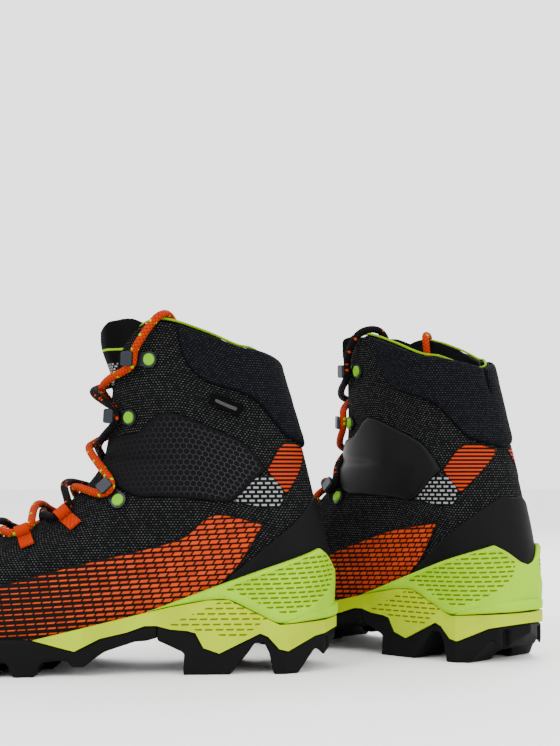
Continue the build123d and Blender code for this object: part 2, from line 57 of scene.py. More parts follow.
FRONT_LINE = [(12, 303), (30, 302), (38, 298), (46, 291), (54, 278), (62, 254), (70, 225), (80, 194),
              (90, 173), (100, 160), (110, 150), (122, 142.5), (150, 138.5), (215, 139)]
NOSE_LENGTH = [(12, 95), (40, 93), (60, 88), (80, 78), (100, 66), (120, 58), (150, 52), (215, 52)]
LATERAL_WIDTH = [(0, 33), (40, 34.5), (90, 37), (130, 42), (170, 48.5), (205, 51), (310, 51)]
MEDIAL_WIDTH = [(0, 33), (40, 33.5), (90, 31.5), (120, 32.5), (160, 39), (200, 46), (235, 48), (310, 48)]
SHAFT_WIDTH = [(12, 37), (100, 36.5), (140, 34), (165, 35.5), (215, 38)]
TOE_INSET = 5.0
INSOLE_LINE = [(-12, 36), (55, 36), (85, 34), (130, 27), (180, 21), (240, 21.5), (275, 25), (312, 32)]
COLLAR_LINE = [(0, 170), (10, 172), (35, 180.4), (48, 186.5), (57, 187.7), (73, 193.5), (93, 200.5),
               (106, 202.5), (116, 199.5), (124, 192), (129, 184), (134, 176), (150, 170)]
COLLAR_PAD = [(0, 128), (18, 129.5), (30, 135.5), (38, 144.5), (47, 155), (56, 160.5), (66, 163.5), (76, 167),
              (84, 173), (90, 182), (92.5, 190), (94, 201)]
ANKLE_PAD = [(131, 135.5), (117, 138.4), (109.5, 144.8), (101.4, 150), (94, 149.4), (75.4, 142),
             (57.4, 133.8), (48, 125), (42, 116), (47, 112), (62, 98.4), (79.4, 99.3), (103, 100.8),
             (116, 101), (129, 107), (135.5, 116.4), (135, 125)]
HEEL_COUNTER_TOP = [(8, 99), (15, 99.5), (28, 84), (56, 60.8), (64, 53.2), (66, 40)]
LATERAL_OVERLAY = [(236, 41), (196, 50.2), (155.7, 61.2), (107, 72.7), (89.4, 78.4), (72, 91), (42, 85.6),
                   (66.6, 51.4), (91, 40), (110.6, 33), (172, 20), (236, 18)]
MEDIAL_OVERLAY = [(236, 40), (196, 47), (150, 57), (110, 70), (80, 79), (42, 85), (66.6, 51.4), (91, 40),
                  (110.6, 33), (172, 20), (236, 18)]
CLIP_TOP = [(2, 58.5), (5, 60.5), (8.6, 66.3), (12.5, 69.9), (13.3, 70.5), (14.6, 70.0), (36, 62.3),
            (71.5, 49.8), (91.5, 42.4), (110.3, 35.5)]
CLIP_BOTTOM = [(0, 34), (18, 32), (33.7, 28.6), (48, 34.8), (63, 41.8), (74.7, 41.8), (97, 38.2)]
LEDGE_TOP = [(0, 38.4), (12, 36.8), (22, 34.0), (33, 29.0)]
LEDGE_BOTTOM = [(0, 31.0), (18, 29.6), (33, 28.0)]
LABEL_TAB = [(73, 161.5), (55, 153.5), (57.5, 147), (75, 155)]
COUNTER_BOTTOM = [(66, 38), (40, 34), (0, 40)]
STRIPE_PRINT = [(31.4, 132), (20.6, 129.1), (21, 120.5), (30.2, 102), (41.8, 116.4)]
TICK_PRINT = [(62, 97.9), (46.4, 112.9), (37.7, 112.4), (32, 104.3), (31.7, 99.3), (36, 94.4)]
CLIP_PANEL = [(67.9, 48.5), (40, 58.7), (14, 68), (6, 60), (6.8, 51.6), (13.2, 42.5), (24, 35.5), (34, 34.5),
              (47.7, 40.7), (58.5, 45.8)]
# lines that bound the slotted part of the midsole: each a sum of X, Z and a number, above 0 inside
FOAM_PANEL = [(0.40, -1.0, 17.65), (-0.44, -1.0, 71.66), (-0.22, 1.0, -6.8), (0.62, 0.79, -50.0)]
THROAT_END = (72.5, 79.0)   # heights where the throat closes towards the toe, and where it is full width
KNIT_T, EDGE_DROP = 2.4, 0.9
LINING_DEPTH, LINING_T = 6.6, 1.0
TONGUE_BOTTOM, TONGUE_TOP, TONGUE_T = 69.0, 201.0, 3.2
CLIP_LIFT = 1.7             # the heel clip stands this far off the skin
PLAIN = 9.0                 # third number of a place on the cloth, where it is far from any edge
LACE_D = 4.8
HOOKS = [((181.2, 50.5), (180.6, 64.5)), ((148.0, 34.0), (147.0, 48.5)), ((104.8, 49.0), (98.5, 61.5))]
LOOPS = [(89.0, 38.0), (78.0, 38.0), (69.5, 36.0)]
LACE_RISE = 4.3
LOOP_RISE = 4.0
LACE_TURN = 4.6
UNDER_STOPS = [[(170.5, 29, 4.0), (165.5, 7, 3.2), (163, -7, 3.2), (157, -24, 3.9)],
               [(137, 27, 4.2), (130.5, 8, 3.1), (127.5, -9, 3.1), (117.5, -30, 4.0)],
               [(103.8, 27, 3.9), (104, 8, 3.1), (102.6, -8, 3.1), (98.5, -24, 4.0)],
               [(87.3, 24, 3.9), (89.4, 8, 3.1), (88.4, -7, 3.1), (84.5, -23, 3.9)],
               [(76.9, 24, 3.9), (78.6, 8, 3.1), (77.6, -7, 3.1), (74.6, -22, 3.9)]]
OVER_STOPS = [[(170, 30, 4.8), (165.5, 9, 8.6), (162.5, -9, 8.6), (157.5, -23, 5.4)],
              [(137.5, 26, 5.3), (130.5, 9, 8.5), (127.5, -9, 8.5), (118, -29, 5.2)],
              [(103.8, 27, 5.2), (103.6, 9, 8.5), (101.6, -9, 8.5), (98.3, -23, 5.2)],
              [(87.4, 24, 5.2), (89.2, 9, 8.5), (88.0, -8, 8.5), (84.6, -22, 5.2)],
              [(76.9, 24, 5.2), (78.2, 9, 8.5), (77.2, -8, 8.5), (74.7, -22, 5.2)]]
BOTTOM_STOPS = [(70.0, 23, 3.9), (71.0, 11, 3.2), (71.2, 0, 3.1)]
TAIL_STOPS = [(116, 36.5, 190), (110, 38.5, 199), (104, 37.0, 206.5), (99, 24.5, 208.5), (95, 20.5, 200),
              (93, 21.5, 180), (94, 22.5, 155), (98, 21.5, 128), (101, 20.5, 100), (100, 20.0, 76),
              (97, 20.5, 60), (97.5, 21.5, 49.5), (104, 22.0, 43.6), (114, 21.5, 41.4)]


# ---- camera, lights and floor --------------------------------------------------------------------
def make_stage():
    scene = bpy.context.scene
    camera = link("camera", bpy.data.cameras.new("camera"))
    camera.location = (0.0527, -0.9912, 0.116)
    camera.rotation_euler = (math.radians(90 + 3.74), 0, 0)
    camera.data.lens = 72.1
    camera.data.sensor_width = 36
    scene.camera = camera
    world = bpy.data.worlds.new("studio")
    world.use_nodes = True
    world.node_tree.nodes["Background"].inputs[0].default_value = (1, 1, 1, 1)
    world.node_tree.nodes["Background"].inputs[1].default_value = 2.4
    scene.world = world
    for name, place, target, size, power in (
            ("key", (-0.9, -1.3, 1.3), (0, -0.05, 0.1), 0.9, 24),
            ("fill", (1.1, -1.0, 0.7), (0, -0.05, 0.1), 1.2, 12),
            ("rim", (0.4, 1.1, 1.2), (0, 0, 0.12), 0.8, 18)):
        light = link(name, bpy.data.lights.new(name, "AREA"))
        light.location = place
        light.rotation_euler = (Vector(target) - Vector(place)).to_track_quat("-Z", "Y").to_euler()
        light.data.size = size
        light.data.energy = power
    mesh = bpy.data.meshes.new("floor")
    mesh.from_pydata([(-6, -6, 0), (6, -6, 0), (6, 8, 0), (-6, 8, 0)], [], [(0, 1, 2, 3)])
    floor = link("floor", mesh)
    floor.data.materials.append(plain("floor_white", (0.86, 0.86, 0.86), 0.7))


# ---- shape of the skin ---------------------------------------------------------------------------
def along(points, t):
    """Smooth curve through the points, flat beyond its ends."""
    xs, ys = np.array(points, float).T
    slopes = np.empty(len(xs))
    slopes[1:-1] = (ys[2:] - ys[:-2]) / (xs[2:] - xs[:-2])
    slopes[0] = (ys[1] - ys[0]) / (xs[1] - xs[0])
    slopes[-1] = (ys[-1] - ys[-2]) / (xs[-1] - xs[-2])
    t = np.clip(t, xs[0], xs[-1])
    i = np.clip(np.searchsorted(xs, t, side="right") - 1, 0, len(xs) - 2)
    h = xs[i + 1] - xs[i]
    s = (t - xs[i]) / h
    return (ys[i] * (1 + 2 * s) * (1 - s) ** 2 + h * slopes[i] * s * (1 - s) ** 2
            + ys[i + 1] * s * s * (3 - 2 * s) + h * slopes[i + 1] * s * s * (s - 1))


def step(t, low, high):
    """0 below low, 1 above high, smooth between."""
    s = np.clip((t - low) / (high - low), 0, 1)
    return s * s * (3 - 2 * s)


def quarter(s):
    """Quarter circle, from 0 at 0 to 1 at 1."""
    return np.sqrt(np.clip(1 - (1 - np.clip(s, 0, 1)) ** 2, 0, 1))


def half_width(x, z, side):
    """Width of one side before the heel and the toe are rounded."""
    base = np.where(side > 0, along(LATERAL_WIDTH, x), along(MEDIAL_WIDTH, x))
    shaft = step(z, 25, 105)
    return base * (1 - shaft) + along(SHAFT_WIDTH, z) * shaft


def around(z):
    """At height z: back, front, nose length, and the ways round to where heel, side and nose end."""
    back, front, nose = along(BACK_LINE, z), along(FRONT_LINE, z), along(NOSE_LENGTH, z)
    first = np.full_like(back, HEEL_ROUND * math.pi / 2)
    second = first + np.maximum(front - nose - back - HEEL_ROUND, 0)
    return back, front, nose, first, second, second + nose * math.pi / 2


def surface(s, z):
    """Points of the skin. s goes round from the heel line, above 0 on the outer side."""
    s, z = np.broadcast_arrays(np.asarray(s, float), np.asarray(z, float))
    back, front, nose, first, second, last = around(z)
    a, side = np.abs(s), np.where(s >= 0, 1.0, -1.0)
    over = a > last
    a, side = np.where(over, 2 * last - a, a), np.where(over, -side, side)
    heel = back + HEEL_ROUND * (1 - np.cos(np.minimum(a / HEEL_ROUND, math.pi / 2)))
    toe = front - nose + nose * np.sin(np.clip((a - second) / nose, 0, math.pi / 2))
    x = np.where(a < first, heel, np.where(a < second, back + HEEL_ROUND + a - first, toe))
    y = half_width(x, z, side) * quarter((x - back) / HEEL_ROUND) * quarter((front - x) / nose)
    middle = -TOE_INSET * step(x, 180, 303) * (1 - step(z, 50, 90))
    return np.stack([x, middle + side * y, z], -1)


def normals(s, z):
    """Directions straight out of the skin."""
    d = 0.6
    n = np.cross(surface(s, z + d) - surface(s, z - d), surface(s + d, z) - surface(s - d, z))
    return n / np.maximum(np.linalg.norm(n, axis=-1, keepdims=True), 1e-9)


def skin(s, z, lift=0.0):
    """Points that stand lift off the skin."""
    return surface(s, z) + normals(s, z) * np.asarray(lift, float)[..., None]


def way(x, z):
    """How far round from the heel line the place x lies at height z."""
    back, front, nose, first, second = around(np.asarray(z, float))[:5]
    heel = HEEL_ROUND * np.arccos(np.clip(1 - (x - back) / HEEL_ROUND, -1, 1))
    toe = second + nose * np.arcsin(np.clip((x - front + nose) / nose, -1, 1))
    side = first + x - back - HEEL_ROUND
    return np.where(x < back + HEEL_ROUND, heel, np.where(x < front - nose, side, toe))


GIRTH_X, GIRTH_Z = np.linspace(0, 304, 153), np.linspace(12, 216, 409)


def girth_tables():
    """Length up over each side of the boot, from its foot to every height."""
    tables = {}
    for side in (1, -1):
        gx, gz = np.meshgrid(GIRTH_X, GIRTH_Z, indexing="ij")
        back, front, nose = along(BACK_LINE, gz), along(FRONT_LINE, gz), along(NOSE_LENGTH, gz)
        y = half_width(gx, gz, side) * quarter((gx - back) / HEEL_ROUND) * quarter((front - gx) / nose)
        step_length = np.hypot(np.diff(y, axis=1), np.diff(gz, axis=1))
        tables[side] = np.concatenate([np.zeros((len(GIRTH_X), 1)), np.cumsum(step_length, axis=1)], axis=1)
    return tables


GIRTH = girth_tables()


def cloth_place(points, s):
    """Where the points lie on the cloth: round the heel and along the boot, and up over it."""
    x, z = np.clip(points[:, 0], 0, 303.9), np.clip(points[:, 2], 12, 215.9)
    i, j = (x / (GIRTH_X[1])).astype(int), ((z - 12) / (GIRTH_Z[1] - GIRTH_Z[0])).astype(int)
    fx, fz = x / GIRTH_X[1] - i, (z - 12) / (GIRTH_Z[1] - GIRTH_Z[0]) - j
    up = np.zeros(len(points))
    for side in (1, -1):
        g = GIRTH[side]
        value = (g[i, j] * (1 - fx) * (1 - fz) + g[i + 1, j] * fx * (1 - fz)
                 + g[i, j + 1] * (1 - fx) * fz + g[i + 1, j + 1] * fx * fz)
        up = np.where(side * s >= 0, value, up)
    over = step(np.abs(s), 40, 90)
    sideways = np.abs(s) + along(BACK_LINE, z) * 0.9
    return np.stack([sideways, z * (1 - over) + up * over, np.full(len(points), PLAIN)], -1)


# ---- making pieces -------------------------------------------------------------------------------
def to_row(points, boot):
    """Points of a boot's own frame, in millimetres, as points of the row frame, in metres."""
    hx, hy, turn, side = PLACES[boot]
    c, s = math.cos(math.radians(turn)), math.sin(math.radians(turn))
    x, y, z = points[..., 0], points[..., 1] * side, points[..., 2]
    return np.stack([hx + x * c - y * s, hy + x * s + y * c, z], -1) * MM


def from_row(points, boot):
    """Points of the row frame, in metres, as points of a boot's own frame, in millimetres."""
    hx, hy, turn, side = PLACES[boot]
    c, s = math.cos(math.radians(turn)), math.sin(math.radians(turn))
    x, y = points[:, 0] / MM - hx, points[:, 1] / MM - hy
    return np.stack([x * c + y * s, (y * c - x * s) * side, points[:, 2] / MM], -1)


def row_point(boot, x, y, z):
    return tuple(float(v) for v in to_row(np.array([x, y, z], float), boot))


def link(name, data):
    """A new object of the scene."""
    made = bpy.data.objects.new(name, data)
    bpy.context.scene.collection.objects.link(made)
    return made


def keep_cloth(mesh, cloth):
    """Smooth shading, and the places on the cloth kept as an attribute in millimetres."""
    layer = mesh.attributes.new("cloth", "FLOAT_VECTOR", "POINT")
    layer.data.foreach_set("vector", np.ascontiguousarray(cloth, dtype=np.float32).ravel())
    mesh.polygons.foreach_set("use_smooth", [True] * len(mesh.polygons))


def add_piece(boot, name, shape, material):
    """One piece of one boot. Its shape holds points, faces and places on the cloth."""
    points, faces, cloth = shape
    mesh = bpy.data.meshes.new(f"{boot}_{name}")
    if PLACES[boot][3] < 0:
        faces = [tuple(face)[::-1] for face in faces]
    mesh.from_pydata(to_row(points, boot).tolist(), [], [tuple(int(i) for i in face) for face in faces])
    mesh.validate()
    keep_cloth(mesh, cloth)
    mesh.materials.append(material)
    return link(f"{boot}_{name}", mesh)


def grid_faces(rows, columns, start=0, flip=False):
    """Four-sided faces between the points of a grid."""
    corners = [start + i * columns + j for i in range(rows - 1) for j in range(columns - 1)]
    faces = [(a, a + 1, a + columns + 1, a + columns) for a in corners]
    return [face[::-1] for face in faces] if flip else faces


def across_ankle(piece, boot):
    """Works out two points at the ankle, which nothing uses, and bakes the piece's place into its mesh."""
    row_point(boot, 71, 0, 101.5)
    row_point(boot, 67, 0, 132.5)
    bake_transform(piece)


def smooth_outline(points, spacing=1.2):
    """Points evenly along a smooth curve through the outline, which keeps its sharp corners."""
    p = np.array(points, float)
    n, out = len(p), []
    before, after = p - np.roll(p, 1, 0), np.roll(p, -1, 0) - p
    cosine = (before * after).sum(1) / (np.linalg.norm(before, axis=1) * np.linalg.norm(after, axis=1) + 1e-9)
    sharp = cosine < 0.5
    tangent = (np.roll(p, -1, 0) - np.roll(p, 1, 0)) / 2
    for k in range(n):
        a, b = p[k], p[(k + 1) % n]
        length = np.linalg.norm(b - a)
        t0, t1 = ((b - a) if sharp[end] else tangent[end] * length / max(np.linalg.norm(tangent[end]), 1e-9)
                  for end in (k, (k + 1) % n))
        for q in np.arange(0, 1, 1 / max(1, round(length / spacing))):
            out.append(a * (1 + 2 * q) * (1 - q) ** 2 + t0 * q * (1 - q) ** 2
                       + b * q * q * (3 - 2 * q) + t1 * q * q * (q - 1))
    return np.array(out)


def inside(points, outline):
    """Which points lie inside the outline."""
    result = np.zeros(len(points), bool)
    for a, b in zip(outline, np.roll(outline, -1, 0)):
        crosses = (a[1] > points[:, 1]) != (b[1] > points[:, 1])
        if abs(b[1] - a[1]) > 1e-9:
            result ^= crosses & (points[:, 0] < (b[0] - a[0]) * (points[:, 1] - a[1]) / (b[1] - a[1]) + a[0])
    return result


def border_distance(points, outline):
    """How far the points lie from the outline."""
    best = np.full(len(points), 1e9)
    for a, b in zip(outline, np.roll(outline, -1, 0)):
        d = b - a
        t = np.clip(((points - a) @ d) / (d @ d + 1e-12), 0, 1)
        best = np.minimum(best, np.linalg.norm(points - (a + t[:, None] * d), axis=1))
    return best


def fill_outline(outline, spacing, rings):
    """Triangles over an outline: its border, rings just inside it and an even grid."""
    border = smooth_outline(outline)
    area = 0.5 * np.sum(border[:, 0] * np.roll(border[:, 1], -1) - np.roll(border[:, 0], -1) * border[:, 1])
    if area < 0:
        border = border[::-1]
    d = np.roll(border, -1, 0) - np.roll(border, 1, 0)
    inward = np.stack([-d[:, 1], d[:, 0]], -1) / np.maximum(np.linalg.norm(d, axis=1), 1e-9)[:, None]
    extra = []
    for ring in rings:
        candidate = border + inward * ring
        fits = inside(candidate, border) & (border_distance(candidate, border) > ring * 0.93)
        extra.append(candidate[fits])
    low, high = border.min(0), border.max(0)
    rows = np.arange(low[1], high[1], spacing * 0.87)
    grid = np.array([(x + (k % 2) * spacing / 2, y) for k, y in enumerate(rows)
                     for x in np.arange(low[0], high[0], spacing)])
    keep = inside(grid, border)
    grid = grid[keep]
    grid = grid[border_distance(grid, border) > (rings[-1] if rings else 0) + spacing * 0.5]
    flat = np.concatenate([border] + extra + [grid])
    edges = [(k, (k + 1) % len(border)) for k in range(len(border))]
    verts, _, faces = delaunay_2d_cdt([Vector(p) for p in flat], edges, [], 1, 1e-5)[:3]
    verts = np.array([(v.x, v.y) for v in verts])
    return verts, np.array([tuple(f) for f in faces if len(f) == 3]), border


def patch(outline, base, thick, edge, spacing=2.0, relief=None, panel=None, level=False):
    """A layer on the skin inside an outline, with rounded edges and an underside.

    The outline is in the chart (way round, height). panel gives the third number of the cloth, and level
    keeps its rows at one height. Returns points, faces and places on the cloth."""
    rings = [edge * 0.2, edge * 0.55, edge]
    flat, faces, border = fill_outline(outline, spacing, rings)
    distance = border_distance(flat, border)
    lift = base + thick * quarter(distance / edge)
    if relief is not None:
        lift = lift + relief(flat[:, 0], flat[:, 1], distance)
    top = skin(flat[:, 0], flat[:, 1], lift)
    cloth = cloth_place(top, flat[:, 0])
    cloth[:, 2] = distance
    inner = distance > 1e-3
    below = np.arange(len(flat))
    below[inner] = len(flat) + np.arange(inner.sum())
    bottom = skin(flat[inner, 0], flat[inner, 1], np.full(inner.sum(), base - 0.05))
    normal_faces = [tuple(f) for f in faces]
    a, b, c = (top[faces[:, k]] for k in range(3))
    out = (np.cross(b - a, c - a) * normals(flat[faces[:, 0], 0], flat[faces[:, 0], 1])).sum()
    if out < 0:
        normal_faces = [f[::-1] for f in normal_faces]
    under = [tuple(below[i] for i in f[::-1]) for f in normal_faces]
    under = [f for f in under if any(i >= len(flat) for i in f)]
    if level:
        cloth[:, 1] = flat[:, 1]
    if panel is not None:
        cloth[:, 2] = panel(flat[:, 0], flat[:, 1])
    return np.concatenate([top, bottom]), normal_faces + under, np.concatenate([cloth, cloth[inner]])


def on_side(points, side):
    """Outline seen from one side, (X, Z), in the chart."""
    return [(side * float(way(x, z)), z) for x, z in points]


def both_sides(top, bottom):
    """Outline round the heel, from its upper and lower lines, each from the heel forward."""
    outer = on_side(top, 1) + on_side(bottom[::-1], 1)
    return outer + [(-s, z) for s, z in outer[::-1]]


# ---- materials -----------------------------------------------------------------------------------
class Term:
    """A number in the nodes of a material, for plain sums."""

    def __init__(self, paint, socket):
        self.paint, self.socket = paint, socket

    def __add__(self, other):
        return self.paint.sum("ADD", self, other)

    def __sub__(self, other):
        return self.paint.sum("SUBTRACT", self, other)

    def __rsub__(self, other):
        return self.paint.sum("SUBTRACT", other, self)

    def __mul__(self, other):
        return self.paint.sum("MULTIPLY", self, other)

    def __truediv__(self, other):
        return self.paint.sum("DIVIDE", self, other)

    def __abs__(self):
        return self.paint.sum("ABSOLUTE", self)


class Paint:
    """A node material, with short calls for the sums that its patterns need."""

    def __init__(self, name, colour=(0.5, 0.5, 0.5), roughness=0.6, **sockets):
        self.material = bpy.data.materials.new(name)
        self.material.use_nodes = True
        self.tree = self.material.node_tree
        self.shader = self.tree.nodes["Principled BSDF"]
        self.shader.inputs["Base Color"].default_value = (*colour, 1)
        self.shader.inputs["Roughness"].default_value = roughness
        for socket, value in sockets.items():
            self.shader.inputs[socket.replace("_", " ")].default_value = value

    def node(self, kind, *inputs, **settings):
        node = self.tree.nodes.new(kind)
        for key, value in settings.items():
            setattr(node, key, value)
        for socket, value in zip(node.inputs, inputs):
            self.feed(socket, value)
        return node

    def feed(self, socket, value):
        value = value.socket if isinstance(value, Term) else value
        if isinstance(value, bpy.types.NodeSocket):
            self.tree.links.new(value, socket)
        elif value is not None:
            socket.default_value = value

    def sum(self, operation, a, b=None, c=None):
        return Term(self, self.node("ShaderNodeMath", a, b, c, operation=operation).outputs[0])

    def wave(self, value, length):
        return self.sum("SINE", value * (2 * math.pi / length))

    def within(self, value, near, far):
        """1 where the value is closer to 0 than near, 0 where it is beyond far."""
        return self.ramp(abs(value), near, far, 1, 0)

    def ramp(self, value, low, high, start=0.0, end=1.0):
        """start below low, end above high, smooth between."""
        node = self.node("ShaderNodeMapRange", value, low, high, start, end, interpolation_type="SMOOTHSTEP")
        return Term(self, node.outputs[0])

    def mix(self, factor, a, b):
        node = self.node("ShaderNodeMix", data_type="RGBA")
        self.feed(node.inputs[0], factor)
        for socket, value in ((node.inputs[6], a), (node.inputs[7], b)):
            self.feed(socket, (*value, 1) if isinstance(value, tuple) else value)
        return node.outputs[2]

    def split(self, vector):
        """The three numbers of a vector."""
        return [Term(self, socket) for socket in self.node("ShaderNodeSeparateXYZ", vector).outputs]

    def place(self):
        """The three numbers kept with each point of a piece."""
        return self.split(self.node("ShaderNodeAttribute", attribute_name="cloth").outputs["Vector"])

    def join(self, x, y, z=0.0):
        return self.node("ShaderNodeCombineXYZ", x, y, z).outputs[0]

    def object_place(self):
        return self.node("ShaderNodeTexCoord").outputs["Object"]

    def noise(self, scale, detail=2.0):
        node = self.node("ShaderNodeTexNoise")
        for socket, value in (("Vector", self.object_place()), ("Scale", scale), ("Detail", detail)):
            self.feed(node.inputs[socket], value)
        return Term(self, node.outputs[0])

    def random(self, vector):
        return Term(self, self.node("ShaderNodeTexWhiteNoise", vector, noise_dimensions="3D").outputs[0])

    def colour(self, value):
        self.feed(self.shader.inputs["Base Color"], value)

    def bump(self, height, distance):
        node = self.node("ShaderNodeBump")
        node.inputs["Strength"].default_value = 1.0
        node.inputs["Distance"].default_value = distance
        self.feed(node.inputs["Height"], height)
        self.feed(self.shader.inputs["Normal"], node.outputs[0])

    def finish(self, colour, height, distance=0.0003):
        self.colour(colour)
        self.bump(height, distance)
        return self.material

    def cells(self, u, v, width, height, stagger=0.5):
        """Staggered cells: place in the cell from -0.5 to 0.5, and the cell's own numbers."""
        row = self.sum("FLOOR", v / height)
        across = u / width + row * stagger
        column = self.sum("FLOOR", across)
        return across - column - 0.5, v / height - row - 0.5, column, row


BLACK = (0.0022, 0.0022, 0.0022)
CHARCOAL = (0.0022, 0.0022, 0.0024)


def plain(name, colour, roughness, **sockets):
    return Paint(name, colour, roughness, **sockets).material


def dull(name, colour, roughness=0.85, shine=0.03):
    """Paint for cloth and rubber, which hardly mirror anything."""
    paint = Paint(name, colour, roughness)
    paint.shader.inputs["Specular IOR Level"].default_value = shine
    return paint


def dots(paint, u, v, width, height, across, up):
    """1 inside the elliptical dots of a staggered pattern."""
    x, y, column, row = paint.cells(u, v, width, height)
    reach = paint.sum("SQRT", paint.sum("POWER", x / across, 2) + paint.sum("POWER", y / up, 2))
    return paint.ramp(reach, 0.75, 1.15, 1, 0), paint.random(paint.join(column, row, 3))


def scaled(colour, share):
    """The colour made darker or lighter."""
    return tuple(min(1, c * share) for c in colour)


def knit(name, ground, speck, pitch=(2.1, 1.75), bright=0.5, border=2.6):
    """Black knit with rows of long pale flecks, plain along its edges."""
    paint = dull(name, ground)
    u, v, edge = paint.place()
    fleck, chance = dots(paint, u, v, pitch[0], pitch[1], 0.30, 0.20)
    strength = fleck * paint.ramp(chance, 0.0, 1.0, bright * 0.25, bright)
    strength = strength * paint.ramp(edge, border, border + 0.8)
    weave = paint.wave(v, 0.85) * paint.wave(u, 0.9)
    shade = paint.mix(paint.ramp(weave, -1, 1), scaled(ground, 0.5), scaled(ground, 1.6))
    return paint.finish(paint.mix(strength, shade, speck), weave * 0.5 + fleck, 0.00016)


def tongue_cloth(name):
    """Knit of the tongue, with a band of checked webbing and a thin bright stripe near its top."""
    ground = (0.0022, 0.0022, 0.0025)
    paint = dull(name, ground)
    u, v = paint.place()[:2]
    fleck = dots(paint, u, v, 2.4, 2.2, 0.28, 0.2)[0]
    fleck = fleck * paint.ramp(v, 160, 166, 0.35, 0)
    shade = paint.mix(fleck, ground, (0.04, 0.04, 0.044))
    x, y = paint.cells(u, v, 3.0, 1.5)[:2]
    check = paint.within(x, 0.24, 0.3) * paint.within(y, 0.3, 0.4)
    band = paint.ramp(v, 166.5, 167.5) * paint.ramp(v, 179, 180, 1, 0)
    shade = paint.mix(band * check, shade, (0.22, 0.225, 0.23))
    stripe = paint.ramp(v, 187.0, 187.2) * paint.ramp(v, 188.3, 188.5, 1, 0)
    return paint.finish(paint.mix(stripe, shade, (0.16, 0.33, 0.0)), fleck + (band * check + stripe), 0.0003)


def film(name):
    """Thin black film with close rows of slanted orange dashes, which grow thinner towards the toe."""
    paint = dull(name, BLACK, 0.6, 0.05)
    u, v, edge = paint.place()
    slope = v + u * 0.05
    lean = u + slope * 0.75
    x, y, column, row = paint.cells(lean, slope, 5.6, 2.9)
    wobble = paint.random(paint.join(column, row, 1))
    thick = paint.ramp(u, 95, 215, 0.37, 0.15)
    ends = paint.within(x, 0.38, 0.42)
    over = thick * paint.ramp(wobble, 0, 1, 0.88, 1.0) - abs(y)
    mask = ends * paint.ramp(over, 0.0, 0.05)
    mask = mask * paint.ramp(edge, 0.8, 1.3)
    mask = mask * paint.ramp(u + v * 0.5, 78, 81)
    tone = paint.mix(wobble, (0.30, 0.018, 0.0), (0.40, 0.032, 0.0))
    return paint.finish(paint.mix(mask, BLACK, tone), mask, 0.00025)


def stripes(name, colour, pitch, share, length=None):
    """Black print with rows of coloured bars, level with the ground."""
    paint = dull(name, BLACK, 0.6)
    u, v, edge = paint.place()
    x, y = paint.cells(u, v, length or 400.0, pitch)[:2]
    mask = paint.within(y, share / 2, share / 2 + 0.06)
    if length:
        mask = mask * paint.within(x, 0.3, 0.36)
    mask = mask * paint.ramp(edge, 0.3, 0.7)
    return paint.finish(paint.mix(mask, BLACK, colour), mask, 0.0002)


def hexagons(paint, u, v, size):
    """Distance from the nearest edge of a honeycomb, in cells."""
    px, py = u / size, v / size
    tall = math.sqrt(3)

    def local(dx, dy):
        """Squared distance and reach from the middle of the nearest cell of one of the two rows."""
        x = paint.sum("FLOORED_MODULO", px - dx, 1.0) - 0.5
        y = paint.sum("FLOORED_MODULO", py - dy, tall) - tall / 2
        squared = x * x + y * y
        ax, ay = abs(x), abs(y)
        slant = ax * 0.5 + ay * (tall / 2)
        return squared, paint.sum("MAXIMUM", ax, slant)

    first, second = local(0, 0), local(0.5, tall / 2)
    closer = paint.sum("LESS_THAN", first[0], second[0])
    reach = closer * first[1] + (1.0 - closer) * second[1]
    return 0.5 - reach


def honeycomb(name):
    """Black rubber with a honeycomb of paler lines, fading towards the front."""
    paint = dull(name, CHARCOAL, 0.6, 0.03)
    u, v, edge = paint.place()
    wall = paint.ramp(hexagons(paint, u, v, 3.6), 0.03, 0.09, 1, 0)
    fade = paint.ramp(edge, 0.8, 4.0) * paint.ramp(u, 70, 150, 1.0, 0.12)
    mask = wall * fade
    return paint.finish(paint.mix(mask, (0.0026, 0.0026, 0.003), (0.026, 0.026, 0.028)), mask, 0.0003)


def moulded(name, colour, roughness=0.5, grain=900, depth=0.00006, shine=0.2):
    """Moulded rubber or plastic with a fine grain and slightly uneven colour."""
    paint = dull(name, colour, roughness, shine)
    cloud = paint.noise(35, 3)
    paint.colour(paint.mix(paint.ramp(cloud, 0.35, 0.65), scaled(colour, 0.85), scaled(colour, 1.15)))
    rough = paint.ramp(cloud, 0.3, 0.7, roughness * 0.85, min(1, roughness * 1.15))
    paint.feed(paint.shader.inputs["Roughness"], rough)
    paint.bump(paint.noise(grain, 2), depth)
    return paint.material


def slotted(name, colour, pitch, row_height, sizes, slant, lines=()):
    """Moulded piece with short recessed slots where the third number of its place and every line are above 0,
    the slots painted a darker copy of its colour as painted shade.
    """
    paint = dull(name, colour, 0.6, 0.02)
    u, v, panel = paint.place()
    for x_share, z_share, start in lines:
        line = u * x_share + v * z_share + start
        panel = paint.sum("MINIMUM", panel, line)
    slope = v + u * slant
    lean = u + slope * 0.5
    x, y = paint.cells(lean, slope, pitch, row_height)[:2]
    slot = paint.within(x, sizes[0] - 0.05, sizes[0] + 0.03)
    slot = slot * paint.within(y, sizes[1] - 0.06, sizes[1] + 0.06)
    slot = slot * paint.ramp(panel, 0.3, 0.8)
    cloud = paint.ramp(paint.noise(30, 3), 0.35, 0.65)
    base = paint.mix(cloud, scaled(colour, 0.92), scaled(colour, 1.08))
    # painted shade: the slots get a third of the colour, standing in for the shade inside the recesses
    tone = paint.mix(slot, base, scaled(colour, 0.33))
    return paint.finish(tone, paint.noise(900, 2) * 0.08 - slot, 0.0006)


